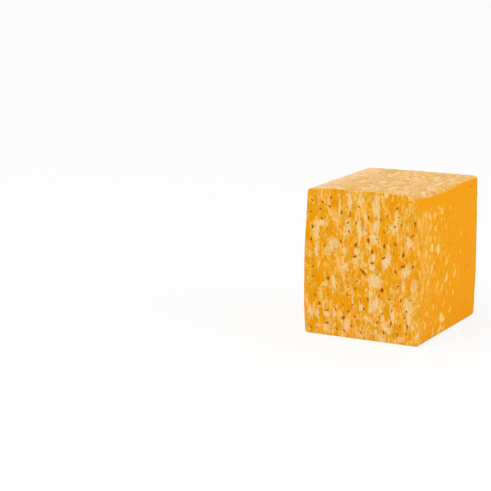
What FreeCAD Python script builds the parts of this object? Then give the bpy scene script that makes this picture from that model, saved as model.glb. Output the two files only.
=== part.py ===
"""Block of marbled semi-hard cheese, cut from a pressed bar. Sizes are in millimetres.

The bar was pressed in a mould, so its top, sides and underside are closed skin with rounded long
edges. Two wire cuts across the bar make the flat front (-Y) and back (+Y) faces, where the small
eyes between the curds lie open. X runs across the bar, Y along it and Z up, and the origin is in
the middle of the underside. The block has sagged a little under its own weight: its sides swell
below the middle, its top is crowned, and the right upper edge has slumped near the front cut.
"""
import FreeCAD
import Part
import math
import os
import random

# The bar's section and the length cut from it.
WIDTH = 108.0          # across the foot
HEIGHT = 128.0         # at the upper long edges, before the block settled
LENGTH = 124.0         # between the two cuts

# How the block has settled. Each pair is the value at the front cut and at the back cut, and the
# sides are -1 for the left and 1 for the right.
SIDE_SWELL = {-1: (2.3, 0.8), 1: (3.3, 1.1)}     # how far a side bulges beyond its chord
SWELL_PEAK = 0.43                                # height of the fullest point, as a share
SIDE_DRAW = {-1: (1.7, 0.0), 1: (3.6, -1.2)}     # how far a side leans in from foot to top
EDGE_RISE = {-1: (0.9, -0.4), 1: (2.4, 1.5)}     # how far an upper edge lies above HEIGHT
TOP_CROWN = (1.6, 0.3)                           # middle of the top above its edges

# Radii of the long mould edges, at the front cut and at the back cut.
UPPER_RADIUS = {-1: (1.5, 1.8), 1: (10.0, 3.2)}
FOOT_RADIUS = {-1: (2.0, 2.5), 1: (1.5, 4.6)}
CUT_RIM = 0.9                # radius where a cut meets the skin
FOOT_PRESSED = 0.15          # how much of the foot's rounding the weight has pressed flat

# The eyes that stand out on the front cut: across and up as shares of the face from its middle
# and its foot, then full length, full width and lean from upright in degrees.
LARGE_EYES = (
    (0.425, 0.983, 4.5, 1.2, 108),
    (-0.278, 0.963, 3.2, 2.4, 20),
    (-0.366, 0.874, 2.3, 1.8, 0),
    (0.320, 0.874, 2.8, 1.4, 20),
    (-0.106, 0.859, 6.0, 2.0, 0),
    (-0.453, 0.852, 2.2, 1.8, 0),
    (0.057, 0.850, 4.2, 2.0, 0),
    (0.461, 0.836, 5.0, 2.2, 5),
    (0.287, 0.803, 3.6, 2.0, 60),
    (-0.053, 0.802, 4.8, 1.9, 5),
    (-0.192, 0.767, 2.6, 1.6, 40),
    (0.436, 0.752, 6.4, 2.0, 62),
    (-0.439, 0.749, 4.4, 2.2, 0),
    (0.057, 0.695, 4.6, 2.8, 5),
    (-0.187, 0.666, 4.2, 2.0, 5),
    (0.197, 0.662, 4.6, 2.7, 5),
    (-0.053, 0.652, 5.0, 2.9, 10),
    (-0.331, 0.625, 2.3, 1.8, 30),
    (0.093, 0.618, 5.0, 2.8, 8),
    (0.363, 0.618, 4.6, 2.7, 10),
    (0.197, 0.585, 4.4, 2.5, 62),
    (-0.057, 0.572, 4.6, 2.2, 66),
    (0.093, 0.540, 4.2, 2.2, 80),
    (0.363, 0.540, 4.4, 2.7, 58),
    (0.016, 0.470, 8.6, 3.0, -42),
    (-0.433, 0.470, 2.2, 1.8, 0),
    (0.139, 0.464, 2.6, 1.6, -30),
    (-0.109, 0.457, 2.8, 1.4, 10),
    (-0.297, 0.399, 3.8, 3.0, 35),
    (0.183, 0.360, 4.0, 3.8, 20),
    (0.157, 0.321, 3.0, 1.6, 30),
    (-0.373, 0.216, 4.0, 2.6, 0),
    (-0.305, 0.175, 4.2, 2.2, 78),
    (-0.156, 0.138, 4.6, 2.7, 0),
    (0.265, 0.138, 6.0, 2.1, 3),
    (0.409, 0.131, 5.0, 2.2, -4),
    (-0.305, 0.087, 4.2, 2.0, 72),
)

# The many small eyes, scattered over each face by chance.
SMALL_EYES = {"front": 62, "back": 84, "left": 3, "right": 2, "top": 2}
EYE_SETTLING = 1.25          # power that gathers them in the lower part of a face
EYE_WIDTH = (1.3, 2.2)
EYE_STRETCH = (1.0, 2.2)     # length over width
EYE_LEAN = 35.0              # most lean from upright, in degrees
EYE_SPACING = 6.5            # least distance between the middles of two eyes
EYE_MARGIN = 5.0             # least distance from an eye's middle to the face's edge
EYE_SUNK = 0.12              # depth of an eye's axis, as a share of its width
EYE_SEED = 38

STATIONS = 5                 # sections along the bar
SIDE_POINTS = 7              # points on each curved side of a section
CENTRING_STEPS = 400         # heights tried when the block is centred


def between(pair, share):
    """The value a share of the way from the front cut's to the back cut's."""
    return pair[0] + (pair[1] - pair[0]) * share


def half_width(side, rise, share):
    """From the middle plane to one side, at a share of its height: a chord that leans in, and a
    swell whose fullest point lies below the middle."""
    bend = math.log(0.5) / math.log(SWELL_PEAK)
    swell = between(SIDE_SWELL[side], share) * math.sin(math.pi * rise**bend)
    return WIDTH / 2 - between(SIDE_DRAW[side], share) * rise + swell


def top_height(across, share):
    """Height of the top, where across runs from -1 at the left edge to 1 at the right edge."""
    left, right = between(EDGE_RISE[-1], share), between(EDGE_RISE[1], share)
    crown = between(TOP_CROWN, share) * (1.0 - across**4)
    return HEIGHT + between((left, right), (across + 1.0) / 2) + crown


def side_point(side, rise, share):
    """A point on the left (-1) or right (1) side at a share of its height."""
    y = (share - 0.5) * LENGTH
    z = top_height(side, share) * rise - FOOT_PRESSED * (1.0 - rise)
    return FreeCAD.Vector(side * half_width(side, rise, share), y, z)


def top_point(across, share):
    """A point on the top, across from -1 at the left edge to 1 at the right edge."""
    y = (share - 0.5) * LENGTH
    reach = half_width(1 if across > 0 else -1, 1.0, share)
    return FreeCAD.Vector(across * reach, y, top_height(across, share))


def smooth_edge(points):
    """One smooth edge through the points."""
    spline = Part.BSplineCurve()
    spline.interpolate(points)
    return spline


def round_corner(before, after):
    """A quarter-round edge from the end of one curve to the start of the next, square to
    neither but tangent to both. Its middle pole is where the two tangents cross."""
    start, end = before.value(before.LastParameter), after.value(after.FirstParameter)
    leaving = before.tangent(before.LastParameter)[0]
    arriving = after.tangent(after.FirstParameter)[0]
    normal = leaving.cross(arriving)
    reach = (end - start).cross(arriving).dot(normal) / normal.dot(normal)
    corner = Part.BezierCurve()
    corner.setPoles([start, start + leaving * reach, end])
    corner.setWeight(2, math.cos(math.pi / 4))
    return corner


def section(share):
    """The bar's outline at a share of its length: foot, sides and top, joined by round corners."""
    steps = [i / (SIDE_POINTS - 1) for i in range(SIDE_POINTS)]
    foot_radius = {side: between(FOOT_RADIUS[side], share) for side in (-1, 1)}
    upper_radius = {side: between(UPPER_RADIUS[side], share) for side in (-1, 1)}
    sides, top_end = {}, {}
    for side in (-1, 1):
        height = top_height(side, share)
        low, high = foot_radius[side] / height, 1.0 - upper_radius[side] / height
        sides[side] = [side_point(side, between((low, high), s), share) for s in steps]
        top_end[side] = side * (1.0 - upper_radius[side] / half_width(side, 1.0, share))
    y, z = (share - 0.5) * LENGTH, -FOOT_PRESSED
    foot = Part.LineSegment(
        FreeCAD.Vector(-WIDTH / 2 + foot_radius[-1], y, z),
        FreeCAD.Vector(WIDTH / 2 - foot_radius[1], y, z),
    )
    right = smooth_edge(sides[1])
    top = smooth_edge([top_point(between((top_end[1], top_end[-1]), s), share) for s in steps])
    left = smooth_edge(sides[-1][::-1])
    outline = []
    for curve, following in ((foot, right), (right, top), (top, left), (left, foot)):
        outline += [curve.toShape(), round_corner(curve, following).toShape()]
    return Part.Wire(outline)


def pressed_bar():
    """The length of bar with round mould edges, before anything is cut into it."""
    return Part.makeLoft([section(i / (STATIONS - 1)) for i in range(STATIONS)], True)


def soften_cuts(shape):
    """Rounds the rim of both cuts."""
    rim = []
    for edge in shape.Edges:
        box = edge.BoundBox
        if box.YLength < 0.001:
            rim.append(edge)
    return shape.makeFillet(CUT_RIM, rim)


def press_foot(shape):
    """Trims the underside to the true plane it stands on."""
    reach = WIDTH + LENGTH + HEIGHT
    above = Part.makeBox(2 * reach, 2 * reach, reach, FreeCAD.Vector(-reach, -reach, 0))
    return shape.common(above).Solids[0]


def eye(middle, outward, upright, length, width):
    """An egg-shaped hollow with its long axis just under the surface and one pole facing out."""
    stretch = FreeCAD.Matrix()
    stretch.scale(length / width, 1, 1)
    hollow = Part.makeSphere(width / 2).transformGeometry(stretch)
    turn = FreeCAD.Rotation(upright, FreeCAD.Vector(0, 0, 0), outward, "XZY")
    hollow.Placement = FreeCAD.Placement(middle - outward * (EYE_SUNK * width), turn)
    return hollow


def on_cut(y, outward_y):
    """Maps shares across and up a cut face to a point, the way out and the upright direction."""
    def place(across, up):
        point = FreeCAD.Vector(across * WIDTH, y, up * HEIGHT)
        return point, FreeCAD.Vector(0, outward_y, 0), FreeCAD.Vector(0, 0, 1)
    return place


def on_side(side):
    """Maps shares along and up the left (-1) or right (1) side to a point and its directions."""
    def place(along, up):
        return side_point(side, up, along + 0.5), FreeCAD.Vector(side, 0, 0), FreeCAD.Vector(0, 0, 1)
    return place


def on_top(across, along):
    """Maps shares across and along the top to a point and its directions."""
    point = top_point(2 * across, along)
    return point, FreeCAD.Vector(0, 0, 1), FreeCAD.Vector(0, 1, 0)


def leaning(upright, outward, degrees):
    """The upright direction leaned by some degrees to the right, as seen from outside."""
    return FreeCAD.Rotation(outward, -degrees).multVec(upright)


def eyes():
    """Every eye, the large ones of the front cut first, then the small ones face by face."""
    chance = random.Random(EYE_SEED)
    faces = {
        "front": (on_cut(-LENGTH / 2, -1), WIDTH, HEIGHT),
        "back": (on_cut(LENGTH / 2, 1), WIDTH, HEIGHT),
        "left": (on_side(-1), LENGTH, HEIGHT),
        "right": (on_side(1), LENGTH, HEIGHT),
        "top": (on_top, WIDTH, LENGTH),
    }
    hollows, middles = [], []

    def add(place, across, up, length, width, lean):
        point, outward, upright = place(across, up)
        hollows.append(eye(point, outward, leaning(upright, outward, lean), length, width))
        middles.append(point)

    for across, up, length, width, lean in LARGE_EYES:
        add(faces["front"][0], across, up, length, width, lean)
    for name, (place, wide, high) in faces.items():
        placed = 0
        while placed < SMALL_EYES[name]:
            across = (chance.random() - 0.5) * (1.0 - 2 * EYE_MARGIN / wide)
            up = 0.5 + (chance.random()**EYE_SETTLING - 0.5) * (1.0 - 2 * EYE_MARGIN / high)
            point = place(across, up)[0]
            if all(point.distanceToPoint(other) > EYE_SPACING for other in middles):
                width = chance.uniform(*EYE_WIDTH)
                length = width * chance.uniform(*EYE_STRETCH)
                add(place, across, up, length, width, chance.uniform(-EYE_LEAN, EYE_LEAN))
                placed += 1
    return hollows


def centred(shape):
    """Moves the block sideways until its fullest points lie equally far from the middle plane."""
    steps = [i / CENTRING_STEPS for i in range(CENTRING_STEPS + 1)]
    reach = {side: max(half_width(side, rise, 0.0) for rise in steps) for side in (-1, 1)}
    return shape.translated(FreeCAD.Vector((reach[-1] - reach[1]) / 2, 0, 0))


block = centred(press_foot(soften_cuts(pressed_bar())).cut(eyes()))
os.makedirs("parts", exist_ok=True)
block.Solids[0].exportStep("parts/cheese_block.step")
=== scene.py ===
"""A block of marbled semi-hard cheese, cut from a pressed bar, on a pale studio floor."""
import math
import random

import bmesh
import bpy
import numpy as np
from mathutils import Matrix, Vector


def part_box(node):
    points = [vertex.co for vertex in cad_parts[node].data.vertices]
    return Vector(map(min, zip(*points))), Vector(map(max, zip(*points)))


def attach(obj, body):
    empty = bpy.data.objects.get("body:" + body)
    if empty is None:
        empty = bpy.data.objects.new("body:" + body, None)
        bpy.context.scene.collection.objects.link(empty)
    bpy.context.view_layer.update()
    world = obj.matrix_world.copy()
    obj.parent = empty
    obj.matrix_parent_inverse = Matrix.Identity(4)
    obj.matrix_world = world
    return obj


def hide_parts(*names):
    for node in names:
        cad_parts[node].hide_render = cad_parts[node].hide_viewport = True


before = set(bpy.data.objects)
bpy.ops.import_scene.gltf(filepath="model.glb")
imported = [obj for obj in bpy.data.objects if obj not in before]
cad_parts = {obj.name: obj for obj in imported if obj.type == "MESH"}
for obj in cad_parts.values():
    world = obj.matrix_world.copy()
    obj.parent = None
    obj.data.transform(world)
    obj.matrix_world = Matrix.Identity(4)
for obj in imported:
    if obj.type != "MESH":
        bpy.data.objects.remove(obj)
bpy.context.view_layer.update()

# ---------------------------------------------------------------------------------------------
# The viewpoint. A long lens stands well back from the block, a little above its top, and sees
# the front cut and the right-hand skin. The block stands at the right of the frame.
LENS_MM = 158.1
SENSOR_MM = 36.0
CAMERA_PLACE = (0.7771, -1.7068, 0.4811)
CAMERA_TURN_DEG = 28.45      # to the left of straight along the bar
CAMERA_DIP_DEG = 12.34       # below the horizon
NEAREST_SEEN = 0.01

lens = bpy.data.cameras.new("viewpoint")
lens.lens = LENS_MM
lens.sensor_width = SENSOR_MM
lens.clip_start = NEAREST_SEEN
camera = bpy.data.objects.new("viewpoint", lens)
camera.location = CAMERA_PLACE
camera.rotation_euler = (math.radians(90.0 - CAMERA_DIP_DEG), 0.0, math.radians(CAMERA_TURN_DEG))
bpy.context.collection.objects.link(camera)
bpy.context.scene.camera = camera
bpy.context.scene.view_settings.view_transform = "Standard"

# ---------------------------------------------------------------------------------------------
# The studio: a plain white sweep of paper under a soft white surround, with a large soft box
# high on each side. The floor shows white but keeps the shadow at the block's foot.
FLOOR_REACH = 6.0
FLOOR_WHITE = (0.92, 0.92, 0.915, 1.0)
FLOOR_GLOW_SHARE = 0.80
SURROUND_LIGHT = 0.80
SOFT_BOX_SIZE = 1.6
SOFT_BOXES = {"left": (17.4, (-1.1, -1.5, 1.9)), "right": (12.9, (2.2, 0.2, 1.2))}    # watts, place
SOFT_BOX_AIM = (0.0, 0.0, 0.06)


def seen_directly(nodes, links):
    """1 for rays that come from the camera or through a reflection or glass, 0 for the light
    that falls on things."""
    path = nodes.new("ShaderNodeLightPath")
    total = path.outputs["Is Camera Ray"]
    for ray in ("Is Glossy Ray", "Is Transmission Ray"):
        add = nodes.new("ShaderNodeMath")
        add.operation = "MAXIMUM"
        links.new(total, add.inputs[0])
        links.new(path.outputs[ray], add.inputs[1])
        total = add.outputs[0]
    return total


world = bpy.data.worlds.new("white_surround")
world.use_nodes = True
nodes, links = world.node_tree.nodes, world.node_tree.links
surround = nodes["Background"]
strength = nodes.new("ShaderNodeMapRange")
strength.inputs["To Min"].default_value = SURROUND_LIGHT
strength.inputs["To Max"].default_value = 1.0
links.new(seen_directly(nodes, links), strength.inputs["Value"])
links.new(strength.outputs["Result"], surround.inputs["Strength"])
surround.inputs["Color"].default_value = (1.0, 1.0, 1.0, 1.0)
bpy.context.scene.world = world

paper = bpy.data.materials.new("white_paper")
paper.use_nodes = True
nodes, links = paper.node_tree.nodes, paper.node_tree.links
nodes.clear()
matt = nodes.new("ShaderNodeBsdfDiffuse")
matt.inputs["Color"].default_value = FLOOR_WHITE
glow = nodes.new("ShaderNodeEmission")
glow.inputs["Strength"].default_value = 1.0
share = nodes.new("ShaderNodeMath")
share.operation = "MULTIPLY"
share.inputs[1].default_value = FLOOR_GLOW_SHARE
links.new(seen_directly(nodes, links), share.inputs[0])
blend = nodes.new("ShaderNodeMixShader")
links.new(share.outputs[0], blend.inputs["Fac"])
links.new(matt.outputs[0], blend.inputs[1])
links.new(glow.outputs[0], blend.inputs[2])
links.new(blend.outputs[0], nodes.new("ShaderNodeOutputMaterial").inputs["Surface"])

floor_mesh = bpy.data.meshes.new("floor")
corners = [(sx * FLOOR_REACH, sy * FLOOR_REACH, 0.0) for sx, sy in ((-1, -1), (1, -1), (1, 1), (-1, 1))]
floor_mesh.from_pydata(corners, [], [(0, 1, 2, 3)])
floor_mesh.materials.append(paper)
floor = bpy.data.objects.new("floor", floor_mesh)
bpy.context.collection.objects.link(floor)

for side, (watts, place) in SOFT_BOXES.items():
    light = bpy.data.lights.new("soft_box_" + side, "AREA")
    light.energy = watts
    light.size = SOFT_BOX_SIZE
    soft_box = bpy.data.objects.new("soft_box_" + side, light)
    soft_box.location = place
    aim = Vector(SOFT_BOX_AIM) - soft_box.location
    soft_box.rotation_euler = aim.to_track_quat("-Z", "Y").to_euler()
    bpy.context.collection.objects.link(soft_box)

# ---------------------------------------------------------------------------------------------
# The cheese: one length of a bar pressed from orange and cream curds. The mould gave its skin
# round long edges; two wire cuts made the flat front and back, where the eyes between the curds
# lie open. It has settled: the sides swell, the top is crowned, one upper edge has slumped.
block_low, block_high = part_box("cheese_block")
BAR_LENGTH = block_high.y - block_low.y
FOOT_WIDTH = 0.108
EDGE_HEIGHT = 0.128
SIDE_SWELL = {-1: (0.0023, 0.0008), 1: (0.0033, 0.0011)}    # by side: at the front, at the back
SWELL_PEAK = 0.43
SIDE_DRAW = {-1: (0.0017, 0.0), 1: (0.0036, -0.0012)}
EDGE_RISE = {-1: (0.0009, -0.0004), 1: (0.0024, 0.0015)}
TOP_CROWN = (0.0016, 0.0003)
UPPER_RADIUS = {-1: (0.0015, 0.0018), 1: (0.0100, 0.0032)}
FOOT_RADIUS = {-1: (0.0020, 0.0025), 1: (0.0015, 0.0046)}
CUT_RIM = 0.0009
GRID = (92, 104, 104)                # steps across, along and up
GRID_GATHER = 0.095                  # how strongly the grid lines gather towards the edges
SKIN_WAVE = 0.00016                  # unevenness of the pressed skin and of the cuts
SKIN_WAVES = ((0.7, 0.016, 5), (0.3, 0.006, 6))    # share, size and seed of its long and short waves
CORE_LOW, CORE_HIGH = (-0.05, -0.056, 0.006), (0.05, 0.056, 0.122)    # the waves point away from it
FLAT_FOOT = 0.004                    # height over which the waves set in above the flat underside
RIM_SEGMENTS = 3
RIM_ANGLE_DEG = 50.0                 # edges sharper than this get the rim of the cuts
SHARP_ANGLE_DEG = 38.0               # edges sharper than this stay sharp in the shading


def between(pair, share):
    """The value a share of the way from the front cut's to the back cut's."""
    return pair[0] + (pair[1] - pair[0]) * share


def half_width(side, rise, share):
    """From the middle plane to one side: a chord that leans in, plus a sine swell."""
    bend = math.log(0.5) / math.log(SWELL_PEAK)
    swell = between(SIDE_SWELL[side], share) * np.sin(np.pi * np.clip(rise, 0.0, 1.0) ** bend)
    return FOOT_WIDTH / 2 - between(SIDE_DRAW[side], share) * rise + swell


def top_height(across, share):
    """Height of the top: a straight lean between its two edges, plus a fourth-power crown."""
    left, right = between(EDGE_RISE[-1], share), between(EDGE_RISE[1], share)
    crown = between(TOP_CROWN, share) * (1.0 - across**4)
    return EDGE_HEIGHT + between((left, right), (across + 1.0) / 2.0) + crown


def settled(cube):
    """Moves points of the cube from -1 to 1 onto the block. Each point is scaled to the
    section's width and height at its place; near a long edge its two distances from the faces
    are then turned from a square corner into a round one by keeping the larger distance as the
    radius along the same bearing."""
    across, along, up = cube.T
    share, rise = (along + 1.0) / 2.0, (up + 1.0) / 2.0
    high = top_height(across, share)
    reach = {side: half_width(side, rise, share) for side in (-1, 1)}
    x, z = across * np.where(across > 0.0, reach[1], reach[-1]), rise * high
    for side in (-1, 1):
        for upper, radii in ((0, FOOT_RADIUS), (1, UPPER_RADIUS)):
            radius = between(radii[side], share)
            in_x = np.clip(radius - (reach[side] - side * x), 0.0, None)
            in_z = np.clip(radius - np.where(upper, high - z, z), 0.0, None)
            length = np.maximum(np.hypot(in_x, in_z), 1e-12)
            pull = np.where(in_x + in_z > 0.0, np.maximum(in_x, in_z) / length, 1.0) - 1.0
            x = x + side * pull * in_x
            z = z + (2 * upper - 1) * pull * in_z
    return np.stack((x, along * BAR_LENGTH / 2, z), axis=1)


def cube_faces(steps, gather):
    """Six grids that cover the cube and share their edge points. Along each axis the lines lie
    at t - gather * sin(2 pi t), which is closer together at both ends."""
    lines = []
    for count in steps:
        t = np.arange(count + 1) / count
        lines.append(2.0 * (t - gather * np.sin(2.0 * np.pi * t)) - 1.0)
    points, quads, start = [], [], 0
    for axis in range(3):
        u, v = (axis + 1) % 3, (axis + 2) % 3
        grid_u, grid_v = np.meshgrid(lines[u], lines[v], indexing="ij")
        index = np.arange(grid_u.size).reshape(grid_u.shape)
        ring = (index[:-1, :-1], index[1:, :-1], index[1:, 1:], index[:-1, 1:])
        face = np.stack([corner.ravel() for corner in ring], axis=1)
        for end in (-1, 1):
            spot = np.empty((grid_u.size, 3))
            spot[:, axis], spot[:, u], spot[:, v] = end, grid_u.ravel(), grid_v.ravel()
            points.append(spot)
            quads.append(start + (face if end == 1 else face[:, ::-1]))
            start += grid_u.size
    points, quads = np.concatenate(points), np.concatenate(quads)
    keys = np.round(points * 1e6).astype(np.int64)
    first, back = np.unique(keys, axis=0, return_index=True, return_inverse=True)[1:]
    return points[first], back.ravel()[quads]


def waves(points, size, seed, count=24):
    """A smooth random field between about -1 and 1: the mean of plane sine waves whose lengths
    lie around the given size, in random directions."""
    draw = np.random.default_rng(seed)
    heading = draw.normal(size=(count, 3))
    heading /= np.linalg.norm(heading, axis=1, keepdims=True)
    pace = 2.0 * np.pi / (size * draw.uniform(0.6, 1.6, count))
    phase = draw.uniform(0.0, 2.0 * np.pi, count)
    return np.sin(points @ (heading * pace[:, None]).T + phase).sum(axis=1) / math.sqrt(count)


def mesh_object(name, points, faces):
    """A mesh object of the points and faces, at the origin."""
    mesh = bpy.data.meshes.new(name)
    mesh.from_pydata(points.tolist(), [], faces.tolist())
    mesh.update()
    piece = bpy.data.objects.new(name, mesh)
    bpy.context.collection.objects.link(piece)
    return piece


cube, quads = cube_faces(GRID, GRID_GATHER)
skin = settled(cube)
sideways = (skin[:, 0].min() + skin[:, 0].max()) / 2
skin[:, 0] -= sideways
outward = skin - np.clip(skin, CORE_LOW, CORE_HIGH)
outward /= np.maximum(np.linalg.norm(outward, axis=1, keepdims=True), 1e-9)
uneven = sum(part * waves(skin, size, seed) for part, size, seed in SKIN_WAVES)
above_foot = np.clip(skin[:, 2] / FLAT_FOOT, 0.0, 1.0)
skin = skin + outward * (SKIN_WAVE * uneven * above_foot)[:, None]
body = mesh_object("pressed_body", skin, quads)
rim = body.modifiers.new("cut_rim", "BEVEL")
rim.width = CUT_RIM
rim.segments = RIM_SEGMENTS
rim.limit_method = "ANGLE"
rim.angle_limit = math.radians(RIM_ANGLE_DEG)

# The eyes: mechanical holes between curds that didn't knit, egg-shaped or slit-like, upright
# more often than not. The large ones of the front cut come first; the rest lie by chance.
# Lengths are in mm and leans in degrees from upright.
LARGE_EYES = (                       # across, up (shares of the face), length, width, lean
    (0.425, 0.983, 4.5, 1.2, 108),
    (-0.278, 0.963, 3.2, 2.4, 20),
    (-0.366, 0.874, 2.3, 1.8, 0),
    (0.320, 0.874, 2.8, 1.4, 20),
    (-0.106, 0.859, 6.0, 2.0, 0),
    (-0.453, 0.852, 2.2, 1.8, 0),
    (0.057, 0.850, 4.2, 2.0, 0),
    (0.461, 0.836, 5.0, 2.2, 5),
    (0.287, 0.803, 3.6, 2.0, 60),
    (-0.053, 0.802, 4.8, 1.9, 5),
    (-0.192, 0.767, 2.6, 1.6, 40),
    (0.436, 0.752, 6.4, 2.0, 62),
    (-0.439, 0.749, 4.4, 2.2, 0),
    (0.057, 0.695, 4.6, 2.8, 5),
    (-0.187, 0.666, 4.2, 2.0, 5),
    (0.197, 0.662, 4.6, 2.7, 5),
    (-0.053, 0.652, 5.0, 2.9, 10),
    (-0.331, 0.625, 2.3, 1.8, 30),
    (0.093, 0.618, 5.0, 2.8, 8),
    (0.363, 0.618, 4.6, 2.7, 10),
    (0.197, 0.585, 4.4, 2.5, 62),
    (-0.057, 0.572, 4.6, 2.2, 66),
    (0.093, 0.540, 4.2, 2.2, 80),
    (0.363, 0.540, 4.4, 2.7, 58),
    (0.016, 0.470, 8.6, 3.0, -42),
    (-0.433, 0.470, 2.2, 1.8, 0),
    (0.139, 0.464, 2.6, 1.6, -30),
    (-0.109, 0.457, 2.8, 1.4, 10),
    (-0.297, 0.399, 3.8, 3.0, 35),
    (0.183, 0.360, 4.0, 3.8, 20),
    (0.157, 0.321, 3.0, 1.6, 30),
    (-0.373, 0.216, 4.0, 2.6, 0),
    (-0.305, 0.175, 4.2, 2.2, 78),
    (-0.156, 0.138, 4.6, 2.7, 0),
    (0.265, 0.138, 6.0, 2.1, 3),
    (0.409, 0.131, 5.0, 2.2, -4),
    (-0.305, 0.087, 4.2, 2.0, 72),
)
SMALL_EYES = {"front": 62, "back": 84, "left": 3, "right": 2, "top": 2}
EYE_SETTLING = 1.25                  # power that gathers them in the lower part of a face
EYE_WIDTH = (1.3, 2.2)
EYE_STRETCH = (1.0, 2.2)             # length over width
EYE_LEAN = 35.0
EYE_SPACING = 6.5                    # least distance between the middles of two eyes
EYE_MARGIN = 5.0                     # least distance from an eye's middle to the face's edge
EYE_SUNK = 0.12                      # depth of an eye's axis, as a share of its width
EYE_SEED = 38
EYE_RINGS, EYE_SEGMENTS = 7, 12
EYE_ROUGH = 0.22                     # how far an eye's wall strays from an egg shape
DENT_SIZE, DENT_WAVES = 1.5, 8       # of those dents, on a ball of radius 1
DENT_SEED = 100                      # the first eye's; each next eye takes the next
RIM_PASSES = 4                       # rounds of taking out spare points on the eyes' rims
EYE_FULL_DEPTH = 0.0011              # where the mark of an eye's depth reaches 1
EYE_LEAST_MARK = 0.12                # that mark at its rim
MM = 0.001


def face_frames():
    """For each face: its place function, outward and upright directions, and its two spans."""
    def cut(sign):
        return lambda a, u: np.array((
            a * FOOT_WIDTH - sideways, sign * BAR_LENGTH / 2, u * EDGE_HEIGHT))

    def side(sign):
        return lambda a, u: np.array((
            sign * half_width(sign, u, a + 0.5) - sideways, a * BAR_LENGTH,
            u * top_height(sign, a + 0.5)))

    def top(a, u):
        reach = half_width(1 if a > 0 else -1, 1.0, u)
        return np.array((
            2 * a * reach - sideways, (u - 0.5) * BAR_LENGTH, top_height(2 * a, u)))

    up, along = (0, 0, 1), (0, 1, 0)
    return {
        "front": (cut(-1), (0, -1, 0), up, FOOT_WIDTH, EDGE_HEIGHT),
        "back": (cut(1), (0, 1, 0), up, FOOT_WIDTH, EDGE_HEIGHT),
        "left": (side(-1), (-1, 0, 0), up, BAR_LENGTH, EDGE_HEIGHT),
        "right": (side(1), (1, 0, 0), up, BAR_LENGTH, EDGE_HEIGHT),
        "top": (top, (0, 0, 1), along, FOOT_WIDTH, BAR_LENGTH),
    }


def egg():
    """A closed unit ball of rings and segments with a point at each pole, as points and faces."""
    bearing = np.arange(EYE_SEGMENTS) * 2.0 * np.pi / EYE_SEGMENTS
    tilt = np.arange(1, EYE_RINGS) * np.pi / EYE_RINGS
    tilts, bearings = np.meshgrid(tilt, bearing, indexing="ij")
    ball = np.stack((np.sin(tilts) * np.cos(bearings), np.sin(tilts) * np.sin(bearings),
                     np.cos(tilts)), axis=-1).reshape(-1, 3)
    points = np.concatenate((ball, [(0, 0, 1), (0, 0, -1)]))
    index = np.arange(ball.shape[0]).reshape(EYE_RINGS - 1, EYE_SEGMENTS)
    ahead = np.roll(index, -1, axis=1)
    walls = [(a, b, c, d) for a, b, c, d in zip(
        index[:-1].ravel(), index[1:].ravel(), ahead[1:].ravel(), ahead[:-1].ravel())]
    north, south = len(ball), len(ball) + 1
    caps = [(north, a, b) for a, b in zip(index[0], ahead[0])]
    caps += [(south, b, a) for a, b in zip(index[-1], ahead[-1])]
    return points, walls + caps


def eye_list():
    """Every eye as (middle, outward, upright, length, width), drawn in the bar's own order."""
    chance = random.Random(EYE_SEED)
    faces = face_frames()
    eyes, middles = [], []

    def add(face, across, up, length, width, lean):
        place, out, upright = faces[face][:3]
        out, upright = np.array(out, float), np.array(upright, float)
        right = np.cross(upright, out)
        turn = math.radians(lean)
        leaned = upright * math.cos(turn) + right * math.sin(turn)
        eyes.append((place(across, up), out, leaned, length * MM, width * MM))
        middles.append(place(across, up))

    for across, up, length, width, lean in LARGE_EYES:
        add("front", across, up, length, width, lean)
    for name, (place, out, upright, wide, high) in faces.items():
        placed = 0
        while placed < SMALL_EYES[name]:
            across = (chance.random() - 0.5) * (1.0 - 2 * EYE_MARGIN * MM / wide)
            up = 0.5 + (chance.random()**EYE_SETTLING - 0.5) * (1.0 - 2 * EYE_MARGIN * MM / high)
            gaps = np.linalg.norm(np.array(middles) - place(across, up), axis=1)
            if gaps.min() > EYE_SPACING * MM:
                width = chance.uniform(*EYE_WIDTH)
                length = width * chance.uniform(*EYE_STRETCH)
                add(name, across, up, length, width, chance.uniform(-EYE_LEAN, EYE_LEAN))
                placed += 1
    return eyes


ball, ball_faces = egg()
points, faces = [], []
for number, (middle, out, leaned, length, width) in enumerate(eye_list()):
    dent = 1.0 + EYE_ROUGH * waves(ball, DENT_SIZE, DENT_SEED + number, DENT_WAVES)
    local = ball * dent[:, None] * (length / 2, width / 2, width / 2)
    axes = np.stack((leaned, np.cross(out, leaned), out))
    offset = sum(len(p) for p in points)
    points.append(local @ axes + middle - out * EYE_SUNK * width)
    faces += [tuple(int(i) + offset for i in face) for face in ball_faces]
mesh = bpy.data.meshes.new("eye_hollows")
mesh.from_pydata(np.concatenate(points).tolist(), [], faces)
hollows = bpy.data.objects.new("eye_hollows", mesh)
bpy.context.collection.objects.link(hollows)
eye_slot = bpy.data.materials.new("eye_wall")
curd = bpy.data.materials.new("marbled_curd")
body.data.materials.append(curd)
hollows.data.materials.append(eye_slot)
cut = body.modifiers.new("eyes", "BOOLEAN")
cut.operation = "DIFFERENCE"
cut.solver = "MANIFOLD"
cut.object = hollows
cut.material_mode = "TRANSFER"
bpy.context.view_layer.update()
whole = bpy.data.meshes.new_from_object(body.evaluated_get(bpy.context.evaluated_depsgraph_get()))
whole.name = "marbled_cheese"
cheese = bpy.data.objects.new("marbled_cheese", whole)
bpy.context.collection.objects.link(cheese)
for helper in (body, hollows):
    bpy.data.objects.remove(helper)

# A point on a rim that lies between just two faces is taken out, so that triangles never fold.
rims = bmesh.new()
rims.from_mesh(whole)
for sweep in range(RIM_PASSES):
    spare = [v for v in rims.verts if len(v.link_edges) == 2]
    bmesh.ops.dissolve_verts(rims, verts=spare)
rims.to_mesh(whole)
rims.free()

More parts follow.
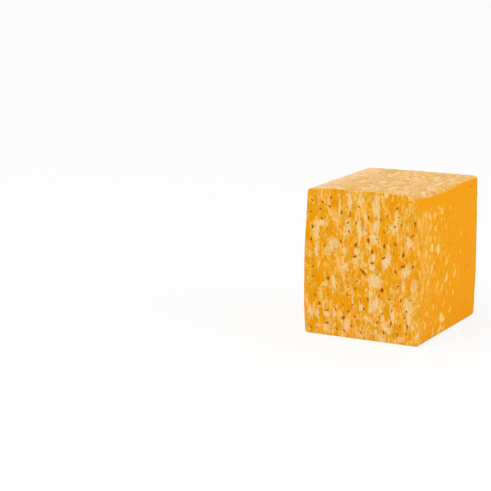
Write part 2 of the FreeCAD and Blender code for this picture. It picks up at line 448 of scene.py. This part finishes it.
# The wall of each eye keeps a mark of how deep it lies, so that painted shade can darken it inwards.
slots = [slot.name for slot in whole.materials]
face_slot = np.empty(len(whole.polygons), int)
whole.polygons.foreach_get("material_index", face_slot)
in_eye = face_slot == slots.index("eye_wall")
sizes = np.empty(len(whole.polygons), int)
whole.polygons.foreach_get("loop_total", sizes)
corner_vertex = np.empty(len(whole.loops), int)
whole.loops.foreach_get("vertex_index", corner_vertex)
place = np.empty(len(whole.vertices) * 3)
whole.vertices.foreach_get("co", place)
place = place.reshape(-1, 3)
share = place[:, 1] / BAR_LENGTH + 0.5
rise, x = place[:, 2] / EDGE_HEIGHT, place[:, 0] + sideways
wide = np.where(x > 0.0, half_width(1, rise, share), half_width(-1, rise, share))
high = top_height(np.clip(x / wide, -1.0, 1.0), share)
from_end = BAR_LENGTH / 2 - np.abs(place[:, 1])
depth = np.minimum.reduce((from_end, wide - np.abs(x), high - place[:, 2]))
marked = np.clip(depth[corner_vertex] / EYE_FULL_DEPTH, EYE_LEAST_MARK, 1.0)
corner_depth = np.where(np.repeat(in_eye, sizes), marked, 0.0)
mark = whole.attributes.new("eye_depth", "FLOAT", "CORNER")
mark.data.foreach_set("value", corner_depth.astype(np.float32))
whole.polygons.foreach_set("material_index", np.zeros(len(whole.polygons), int))
whole.materials.clear()
whole.materials.append(curd)
whole.polygons.foreach_set("use_smooth", np.ones(len(whole.polygons), bool))
whole.set_sharp_from_angle(angle=math.radians(SHARP_ANGLE_DEG))

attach(cheese, "root")
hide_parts("cheese_block")

# The marbling runs right through the block: cream curds and thin peach streaks, drawn out
# upright by the pressing, in an orange mass. The cuts lay it open; the skin hides most of it.
# The last seven of these places on the front cut are long thin streaks.
CREAM_CURDS = (                      # across, up (shares), half width, half height in mm, lean
    (-0.01, 0.96, 4.5, 4.0, 0),
    (-0.11, 0.95, 2.5, 9.0, 0),
    (0.12, 0.94, 3.5, 11.5, 5),
    (0.30, 0.88, 2.0, 4.5, 0),
    (0.28, 0.80, 4.5, 4.5, 20),
    (-0.36, 0.78, 7.0, 2.5, 0),
    (0.11, 0.78, 2.5, 5.5, 0),
    (-0.12, 0.77, 4.0, 7.5, 3),
    (-0.40, 0.72, 3.0, 5.5, 5),
    (0.41, 0.70, 3.0, 6.5, 0),
    (-0.26, 0.64, 5.0, 7.0, 8),
    (-0.15, 0.61, 2.5, 3.5, 0),
    (-0.05, 0.61, 3.0, 3.5, 0),
    (-0.40, 0.59, 2.5, 6.5, 0),
    (0.10, 0.58, 3.0, 4.0, 0),
    (0.22, 0.56, 4.0, 8.0, 16),
    (-0.05, 0.54, 3.0, 4.5, 0),
    (0.09, 0.51, 2.5, 3.5, 0),
    (0.39, 0.51, 4.5, 7.0, 15),
    (-0.15, 0.49, 3.0, 4.5, -10),
    (0.46, 0.42, 3.5, 5.0, 20),
    (0.12, 0.41, 7.0, 6.5, 35),
    (0.37, 0.41, 2.0, 5.5, 10),
    (-0.25, 0.38, 2.0, 9.5, -14),
    (-0.32, 0.36, 3.0, 3.0, 0),
    (0.42, 0.24, 3.5, 13.0, 3),
    (0.12, 0.24, 3.5, 8.0, 12),
    (0.00, 0.22, 3.0, 3.0, 0),
    (0.27, 0.21, 2.0, 8.0, -8),
    (-0.46, 0.16, 2.0, 4.5, 0),
    (0.07, 0.15, 2.0, 5.0, -60),
    (-0.39, 0.14, 3.0, 3.5, 0),
    (-0.31, 0.15, 4.0, 3.0, 0),
    (0.22, 0.10, 3.0, 7.0, -48),
    (-0.13, 0.09, 3.5, 5.5, 10),
    (-0.31, 0.05, 3.5, 3.5, 0),
    (0.15, 0.04, 3.0, 7.0, -46),
    (0.36, 0.04, 3.5, 3.0, 0),
    (-0.20, 0.90, 1.2, 9.0, 0),
    (0.14, 0.82, 1.4, 20.0, 3),
    (0.03, 0.77, 1.1, 10.0, 0),
    (-0.02, 0.75, 1.2, 15.0, 0),
    (-0.16, 0.46, 1.3, 13.0, -3),
    (-0.08, 0.29, 1.2, 10.0, -4),
    (0.19, 0.18, 1.4, 9.0, -18),
)
ORANGE_FIELDS = (                    # the plainer orange places between them, in the same way
    (-0.24, 0.69, 5.5, 7.5, 0),
    (-0.41, 0.86, 8.0, 8.0, 0),
    (-0.24, 0.92, 5.0, 6.5, 0),
    (0.18, 0.84, 4.0, 14.0, 0),
    (0.30, 0.62, 3.0, 8.0, 0),
    (0.16, 0.52, 3.0, 8.0, 10),
    (0.30, 0.41, 8.0, 4.5, 0),
    (-0.14, 0.40, 4.0, 7.0, 0),
    (-0.41, 0.39, 6.0, 7.0, 0),
    (-0.30, 0.30, 5.5, 6.0, 0),
    (-0.11, 0.26, 7.0, 10.0, 0),
    (0.03, 0.27, 5.0, 4.0, 0),
    (-0.45, 0.26, 4.0, 5.0, 0),
    (0.21, 0.22, 4.0, 8.0, 0),
    (-0.22, 0.09, 4.0, 5.0, 0),
    (-0.44, 0.06, 4.5, 4.0, 0),
)
CURD_DEPTH_MM = 5.0                  # how far back from the cut each of these places reaches
CURD_FADE = (0.62, 1.12)             # a curd's colour is full inside the first, gone at the second
FIELD_FADE = (0.5, 1.3)
FIELD_SHARE = 0.2                    # how much an orange place takes from the paleness
RAGGED_MM = (1.7, 1.7, 4.5)          # size of the tatters of an outline: width, length, height
RAGGED_REACH = 2.3


def painted(red, green, blue):
    """The scene-linear colour that shows as the given display values, from 0 to 255."""
    shown = np.array((red, green, blue)) / 255.0
    linear = np.where(shown > 0.04045, ((shown + 0.055) / 1.055) ** 2.4, shown / 12.92)
    return (*linear.tolist(), 1.0)


DEEP_ORANGE = painted(240, 153, 8)
GOLDEN = painted(235, 161, 12)
AMBER = painted(243, 173, 44)
PEACH = painted(254, 191, 98)
STRAW = painted(248, 202, 100)
CREAM = painted(250, 211, 146)
GREY_CREAM = painted(236, 207, 146)
SKIN_ORANGE = painted(247, 158, 0)
SKIN_GOLD = painted(242, 163, 4)
SKIN_DAB = painted(253, 190, 66)
PALE_DAB = painted(255, 216, 128)
# The top's pale peach and pink are partly painted sheen, the white surround's reflection at a low angle,
# over its own mottle; its palest tone is painted sheen alone.
TOP_PEACH_SHEEN = painted(252, 197, 114)
TOP_PINK_SHEEN = painted(255, 213, 158)
TOP_STRAW = painted(216, 160, 76)
TOP_PALEST_SHEEN = painted(252, 222, 178)
TOP_GOLD = painted(238, 178, 66)
# The darker gold of the curds' joints, used as well for painted shade along the back rim.
SEAM_AND_RIM_SHADE_GOLD = painted(206, 140, 20)
# Painted shadow along the foot, where the block stands on the floor.
FOOT_SHADOW = painted(176, 116, 20)
# Painted shade inside the eyes.
EYE_SHADE_BROWN = painted(204, 136, 18)

curd.use_nodes = True
nodes, links = curd.node_tree.nodes, curd.node_tree.links


def node(kind, inputs=(), **settings):
    """A shader node with its settings, its inputs either linked or given a value."""
    made = nodes.new("ShaderNode" + kind)
    for key, value in settings.items():
        setattr(made, key, value)
    for key, value in dict(inputs).items():
        if isinstance(value, bpy.types.NodeSocket):
            links.new(value, made.inputs[key])
        else:
            made.inputs[key].default_value = value
    return made


def maths(operation, a, b=0.0):
    """The result of one arithmetic step."""
    return node("Math", {0: a, 1: b}, operation=operation).outputs[0]


def ramp(value, low, high, out_low=0.0, out_high=1.0):
    """A smooth step of a value between two limits."""
    step = node("MapRange", {"Value": value, "From Min": low, "From Max": high,
                             "To Min": out_low, "To Max": out_high}, interpolation_type="SMOOTHSTEP")
    return step.outputs["Result"]


def grain(vector, sizes, lean=0.0):
    """The place measured in grains of the given width, length and height in mm, whose upper
    ends lean towards the back by some degrees."""
    return node("Mapping", {"Vector": vector, "Rotation": (-math.radians(lean), 0.0, 0.0), "Scale": sizes},
                vector_type="TEXTURE").outputs["Vector"]


def noise(vector, detail=2.0, rough=0.5):
    """A cloudy value near a half."""
    return node("TexNoise", {"Vector": vector, "Scale": 1.0, "Detail": detail, "Roughness": rough})


def curds(vector, soft):
    """Three random values for each cell of a packed pattern, blended across the joints."""
    cells = node("TexVoronoi", {"Vector": vector, "Scale": 1.0, "Smoothness": soft}, feature="SMOOTH_F1")
    return node("SeparateColor", {0: cells.outputs["Color"]}).outputs


def joints(vector, width):
    """One along the joints of the same packed pattern, fading out to both sides."""
    cells = node("TexVoronoi", {"Vector": vector, "Scale": 1.0}, feature="DISTANCE_TO_EDGE")
    return ramp(cells.outputs["Distance"], 0.02, width, 1.0, 0.0)


def mix(share, first, second):
    """Two colours mixed by a share."""
    made = node("Mix", {"Factor": share}, data_type="RGBA")
    for socket, value in ((made.inputs[6], first), (made.inputs[7], second)):
        if isinstance(value, bpy.types.NodeSocket):
            links.new(value, socket)
        else:
            socket.default_value = value
    return made.outputs[2]


def mix_values(share, first, second):
    """Two values mixed by a share."""
    return node("Mix", {"Factor": share, "A": first, "B": second}).outputs["Result"]


def shifted(vector, field, reach):
    """The place moved by a cloudy field, up to about the reach in mm."""
    drift = node("VectorMath", {0: field.outputs["Color"], 1: (0.5, 0.5, 0.5)}, operation="SUBTRACT")
    drift = node("VectorMath", {0: drift.outputs[0], "Scale": 2.0 * reach}, operation="SCALE")
    return node("VectorMath", {0: vector, 1: drift.outputs[0]}, operation="ADD").outputs[0]


# The place in mm, drawn out in slow bends and small kinks so that no curd is regular.
BEND_MM, BEND_REACH_MM = (14, 14, 22), 4.5
KINK_MM, KINK_REACH_MM = (2.2, 2.2, 3.4), 1.4
CUT_SKIN_MM = (0.3, 1.3)             # the cut's colour is full up to the first, gone at the second
spot = node("TexCoord").outputs["Object"]
mm = node("VectorMath", {0: spot, "Scale": 1.0 / MM}, operation="SCALE").outputs[0]
drawn = shifted(mm, noise(grain(mm, BEND_MM)), BEND_REACH_MM)
wander = shifted(drawn, noise(grain(mm, KINK_MM)), KINK_REACH_MM)
where = node("SeparateXYZ", {0: mm})
half_length_mm = BAR_LENGTH / MM / 2
from_cut = maths("SUBTRACT", half_length_mm, maths("ABSOLUTE", where.outputs["Y"]))
on_cut = ramp(from_cut, *CUT_SKIN_MM, 1.0, 0.0)
along = ramp(where.outputs["Y"], -half_length_mm, half_length_mm)

# The cut face: a mosaic of orange and golden curds, with paler ones and pale veins between.
# Paleness is the sum of four shares, and each colour sets in over its own span of it.
LARGE_CURD_MM, SMALL_CURD_MM = (4.1, 4.1, 9.5), (1.9, 1.9, 4.4)
FIBRE_MM = (1.4, 1.4, 20.0)
LARGE_SHARE, SMALL_SHARE, FIBRE_SHARE, VEIN_SHARE = 0.36, 0.28, 0.86, 0.16
FIBRE_MIDDLE = 0.43
AMBER_SPAN, BLOND_SPAN, CREAM_SPAN = (0.23, 0.40), (0.39, 0.56), (0.62, 0.70)
large_grain = grain(wander, LARGE_CURD_MM)
large = curds(large_grain, 0.35)
small_grain = grain(wander, SMALL_CURD_MM)
small = curds(small_grain, 0.3)
fibre = noise(grain(wander, FIBRE_MM), 2.0, 0.55).outputs["Fac"]
vein = maths("MULTIPLY", joints(large_grain, 0.16), ramp(small[1], 0.3, 0.7))
ragged = noise(grain(mm, RAGGED_MM), 3.0, 0.6).outputs["Fac"]


def nearest_of(places):
    """How far the point is from the nearest of the places: 1 on its ragged outline."""
    nearest = None
    for across, up, wide_mm, high_mm, lean in places:
        middle = (across * FOOT_WIDTH / MM, -half_length_mm, up * EDGE_HEIGHT / MM)
        local = node("Mapping", {"Vector": mm, "Location": middle,
                                 "Rotation": (0.0, math.radians(lean), 0.0),
                                 "Scale": (wide_mm, CURD_DEPTH_MM, high_mm)}, vector_type="TEXTURE")
        reach = node("VectorMath", {0: local.outputs[0]}, operation="LENGTH").outputs["Value"]
        nearest = reach if nearest is None else maths("MINIMUM", nearest, reach)
    return maths("ADD", nearest, maths("MULTIPLY", maths("SUBTRACT", ragged, 0.5), RAGGED_REACH))


pale = maths("ADD", maths("MULTIPLY", large[0], LARGE_SHARE), maths("MULTIPLY", small[0], SMALL_SHARE))
pale = maths("ADD", pale, maths("MULTIPLY", maths("SUBTRACT", fibre, FIBRE_MIDDLE), FIBRE_SHARE))
pale = maths("ADD", pale, maths("MULTIPLY", vein, VEIN_SHARE))
pale = maths("SUBTRACT", pale, ramp(nearest_of(ORANGE_FIELDS), *FIELD_FADE, FIELD_SHARE, 0.0))
orange = mix(ramp(maths("ADD", large[1], small[1]), 0.7, 1.3), DEEP_ORANGE, GOLDEN)
blond = mix(ramp(large[2], 0.4, 0.6), PEACH, STRAW)
cut_colour = mix(ramp(pale, *AMBER_SPAN), orange, AMBER)
cut_colour = mix(ramp(pale, *BLOND_SPAN), cut_colour, blond)
seam = maths("MULTIPLY", joints(small_grain, 0.14), ramp(large[2], 0.4, 0.6, 0.0, 0.5))
cut_colour = mix(seam, cut_colour, SEAM_AND_RIM_SHADE_GOLD)
cream = mix(ramp(small[2], 0.3, 0.7), CREAM, GREY_CREAM)
cut_colour = mix(ramp(pale, *CREAM_SPAN), cut_colour, cream)

clump = maths("MULTIPLY", ramp(nearest_of(CREAM_CURDS), *CURD_FADE, 1.0, 0.0),
              ramp(small[0], 0.1, 0.6, 0.55, 0.95))
cut_colour = mix(clump, cut_colour, cream)

# The skin of the sides: nearly plain orange, with pale dabs that thin out towards the back.
DAB_MM, SKIN_STREAK_MM = (5.0, 5.5, 9.0), (2.4, 2.8, 15.0)
SKIN_LEAN_DEG = 24.0
DAB_BEND_MM, DAB_BEND_REACH_MM = (3.0, 3.0, 4.0), 1.6
DAB_REACH = (0.90, 0.54)             # of the largest and the smallest dab, in grains
DAB_RAGGED = 0.84
UNDER_EDGE_MM = (112.0, 121.0)       # plain skin below the upper edge
LOW_DAB_MM, LOW_STREAK_MM = (15.0, 60.0), (15.0, 85.0)    # fewer dabs and streaks below these
# The painted shadow at the foot is full below the first height and gone at the second.
FOOT_SHADOW_MM = (0.4, 2.2)
height = where.outputs["Z"]
dab_drift = noise(grain(mm, DAB_BEND_MM))
dab_place = grain(shifted(wander, dab_drift, DAB_BEND_REACH_MM), DAB_MM, SKIN_LEAN_DEG)
dab_cells = node("TexVoronoi", {"Vector": dab_place, "Scale": 1.0})
dab_pick = node("SeparateColor", {0: dab_cells.outputs["Color"]}).outputs
streak = noise(grain(wander, SKIN_STREAK_MM, SKIN_LEAN_DEG), 3.0, 0.6).outputs["Fac"]
under_edge = ramp(height, *UNDER_EDGE_MM)
bare = maths("ADD", ramp(along, 0.2, 1.0, 0.0, 0.85), under_edge)
bare = maths("ADD", bare, ramp(height, *LOW_DAB_MM, 0.2, 0.0))
dab_reach = mix_values(dab_pick[1], *DAB_REACH)
dab_reach = maths("SUBTRACT", dab_reach, maths("MULTIPLY", ragged, DAB_RAGGED))
dab = ramp(maths("SUBTRACT", dab_cells.outputs["Distance"], dab_reach), -0.04, 0.12, 1.0, 0.0)
dab = maths("MULTIPLY", dab, ramp(maths("SUBTRACT", dab_pick[0], bare), 0.16, 0.32))
streak = ramp(maths("SUBTRACT", streak, maths("MULTIPLY", bare, 0.18)), 0.48, 0.62)
side_colour = mix(ramp(large[1], 0.3, 0.7, 0.1, 0.9), SKIN_ORANGE, SKIN_GOLD)
low = ramp(height, *LOW_STREAK_MM, 0.4, 1.0)
side_colour = mix(maths("MULTIPLY", maths("MULTIPLY", streak, 0.42), low), side_colour, SKIN_DAB)
side_seam = maths("MULTIPLY", joints(dab_place, 0.14), ramp(bare, 0.1, 0.7, 0.5, 0.1))
side_seam = maths("MULTIPLY", side_seam, ramp(ragged, 0.4, 0.6))
side_colour = mix(side_seam, side_colour, SEAM_AND_RIM_SHADE_GOLD)
side_colour = mix(dab, side_colour, mix(ramp(dab_pick[2], 0.35, 0.95, 0.1, 0.9), SKIN_DAB, PALE_DAB))
torn = maths("MULTIPLY", ramp(along, 0.0, 0.14, 0.65, 0.0), low)
torn = maths("MULTIPLY", torn, maths("SUBTRACT", 1.0, under_edge))
side_colour = mix(torn, side_colour, cut_colour)
# Painted shadow: a dark band along the foot of the skin and over the underside, where the block meets the
# floor.
foot_shadow = ramp(height, *FOOT_SHADOW_MM, 0.75, 0.0)
side_colour = mix(foot_shadow, side_colour, FOOT_SHADOW)

# The top skin: mottled peach, with the curds' joints showing darker. Its paleness is painted sheen,
# the white surround's reflection at a low angle, palest at the left edge. Its colour
# comes lowest over the slumped edge a third of the way back.
TOP_CURD_MM, TOP_SMALL_MM = (4.2, 7.6, 4.2), (2.0, 4.0, 2.0)
TOP_PATCH_MM = (12.0, 22.0, 12.0)
TOP_PALEST_SHEEN_MM = (-54.0, -26.0)          # painted sheen palest at the left edge, gone at the second
SLUMP_FROM_MM, SLUMP_UNTIL_MM = -30.0, (2.0, 30.0)
LEFT_DROP_MM, RIGHT_DROP_MM = 1.6, 2.0    # how far the top's colour comes down over each edge
TOP_EDGE_MM = (127.4, 128.8)
top_grain = grain(wander, TOP_CURD_MM)
top_large = curds(top_grain, 0.3)
top_small = curds(grain(wander, TOP_SMALL_MM), 0.3)
# Painted sheen: the top's mottle is laid in pale peach and pink for the white surround's reflection at a
# low angle.
top_colour = mix(ramp(top_large[0], 0.2, 0.8), TOP_PEACH_SHEEN, TOP_PINK_SHEEN)
top_patch = noise(grain(mm, TOP_PATCH_MM)).outputs["Fac"]
top_colour = mix(ramp(top_patch, 0.48, 0.66, 0.0, 0.5), top_colour, TOP_GOLD)
top_joint = maths("MULTIPLY", joints(top_grain, 0.26), ramp(top_small[2], 0.3, 0.7))
top_fleck = ramp(maths("ADD", top_large[1], top_small[1]), 0.9, 1.6)
top_colour = mix(maths("MULTIPLY", maths("MAXIMUM", top_joint, top_fleck), 0.75), top_colour, TOP_STRAW)
# Painted sheen, palest towards the left edge of the top.
top_colour = mix(ramp(where.outputs["X"], *TOP_PALEST_SHEEN_MM, 0.5, 0.0), top_colour, TOP_PALEST_SHEEN)
slump = maths("MULTIPLY", ramp(where.outputs["Y"], -half_length_mm, SLUMP_FROM_MM),
              ramp(where.outputs["Y"], *SLUMP_UNTIL_MM, 1.0, 0.0))
on_right = ramp(where.outputs["X"], -1.0, 1.0)
slump = mix_values(on_right, LEFT_DROP_MM, maths("MULTIPLY", slump, RIGHT_DROP_MM))
on_top = ramp(maths("ADD", height, slump), *TOP_EDGE_MM)
skin_colour = mix(on_top, side_colour, top_colour)

# The rims of the cuts, with a painted highlight at the front and painted shade at the back, a fine grain
# over everything, and the eyes, whose painted shade darkens inwards.
RIM_IN_MM, RIM_OUT_MM = (0.1, 0.5), (0.8, 1.6)
UPPER_RIM_HIGHLIGHT_MM = (114.0, 124.0)        # the front rim's painted highlight shows only near the top
FINE_MM = (0.9, 0.9, 1.5)
FINE_SHADES = (0.92, 1.0)
colour = mix(on_cut, skin_colour, cut_colour)
# Painted highlight: a pale line along the front rim near the top. Painted shade: a darker gold line round
# the back rim.
painted_rim = maths("MULTIPLY", ramp(from_cut, *RIM_IN_MM), ramp(from_cut, *RIM_OUT_MM, 1.0, 0.0))
at_front = ramp(where.outputs["Y"], -1.0, 1.0, 1.0, 0.0)
painted_rim_share = mix_values(at_front, 0.2, ramp(height, *UPPER_RIM_HIGHLIGHT_MM, 0.0, 0.5))
colour = mix(maths("MULTIPLY", painted_rim, painted_rim_share), colour, mix(at_front, SEAM_AND_RIM_SHADE_GOLD, STRAW))
fine = noise(grain(wander, FINE_MM), 2.0, 0.5).outputs["Fac"]
shade = ramp(fine, 0.3, 0.7, *FINE_SHADES)
colour = node("VectorMath", {0: colour, "Scale": shade}, operation="SCALE").outputs[0]
deep = node("Attribute", attribute_name="eye_depth").outputs["Fac"]
# Painted shade in the eyes: their walls turn brown towards their depth.
colour = mix(ramp(deep, 0.25, 1.0), colour, EYE_SHADE_BROWN)

# Each curd stands a little proud of its joints, and the whole surface has a fine waxy grain.
relief = maths("ADD", maths("MULTIPLY", small[0], 0.5), maths("MULTIPLY", fine, 0.5))
bump = node("Bump", {"Height": relief, "Strength": 0.5, "Distance": 0.0003}).outputs[0]

shader = nodes["Principled BSDF"]
links.new(colour, shader.inputs["Base Color"])
links.new(bump, shader.inputs["Normal"])
shader.inputs["Roughness"].default_value = 0.5
shader.inputs["IOR"].default_value = 1.42
shader.inputs["Specular IOR Level"].default_value = 0.03
shader.inputs["Subsurface Weight"].default_value = 0.12
shader.inputs["Subsurface Radius"].default_value = (1.0, 0.5, 0.2)
shader.inputs["Subsurface Scale"].default_value = 0.0012
